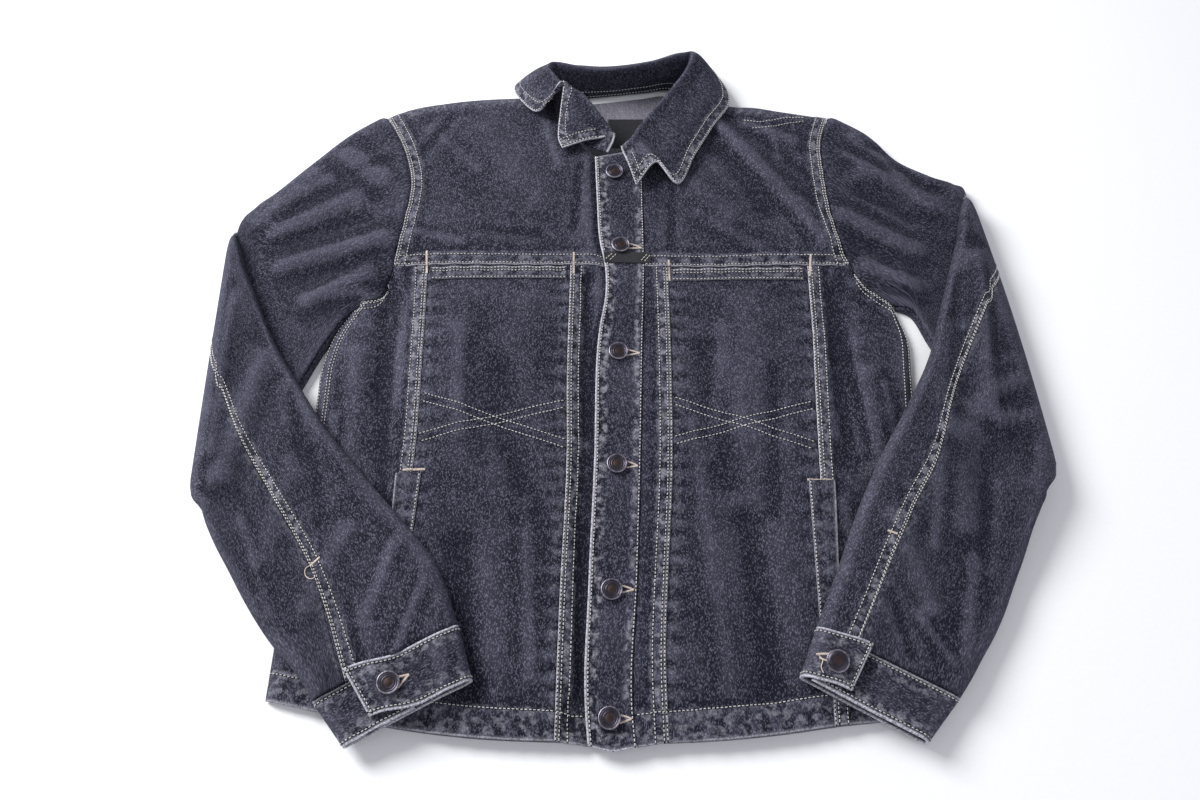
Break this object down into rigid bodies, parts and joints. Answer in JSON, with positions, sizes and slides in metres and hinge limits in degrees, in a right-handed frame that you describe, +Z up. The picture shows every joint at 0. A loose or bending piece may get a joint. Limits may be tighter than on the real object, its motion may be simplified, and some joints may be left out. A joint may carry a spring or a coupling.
{
  "type": "denim jacket",
  "caption": "Charcoal denim trucker jacket laid flat on its back, buttoned, with both sleeves folded over at the elbow onto the fronts",
  "frame": {"origin": "on the surface that the jacket lies on, under the middle of its bounding box", "axes": "+X from the wearer's right side to the left side as seen from above with the collar at the top, +Y from the hem to the collar, +Z up"},
  "size_m": [0.7236, 0.7004, 0.0411],
  "materials": {
    "denim": "washed charcoal denim, salt and pepper twill, worn pale along edges and seams",
    "ribbon": "black woven ribbon, plain",
    "button": "antique dark metal, browned, with plain rings"
  },
  "bodies": {
    "root": {"back_panel": "denim", "back_yoke": "denim", "side_front_left": "denim", "side_front_right": "denim", "pocket_front_left": "denim", "pocket_front_right": "denim", "front_strip_left": "denim", "front_strip_right": "denim", "front_yoke_left": "denim", "front_yoke_right": "denim", "button_stand": "denim", "placket": "denim", "pocket_band_left": "denim", "pocket_band_right": "denim", "hand_welt_left": "denim", "hand_welt_right": "denim", "placket_tab": "ribbon", "neck_label": "ribbon", "sleeve_left_top": "denim", "sleeve_left_under": "denim", "sleeve_right_top": "denim", "sleeve_right_under": "denim", "collar": "denim", "cuff_left": "denim", "cuff_right": "denim", "button_front_1": "button", "button_front_2": "button", "button_front_3": "button", "button_front_4": "button", "button_front_5": "button", "button_front_6": "button", "button_cuff_left": "button", "button_cuff_right": "button"}
  },
  "joints": []
}
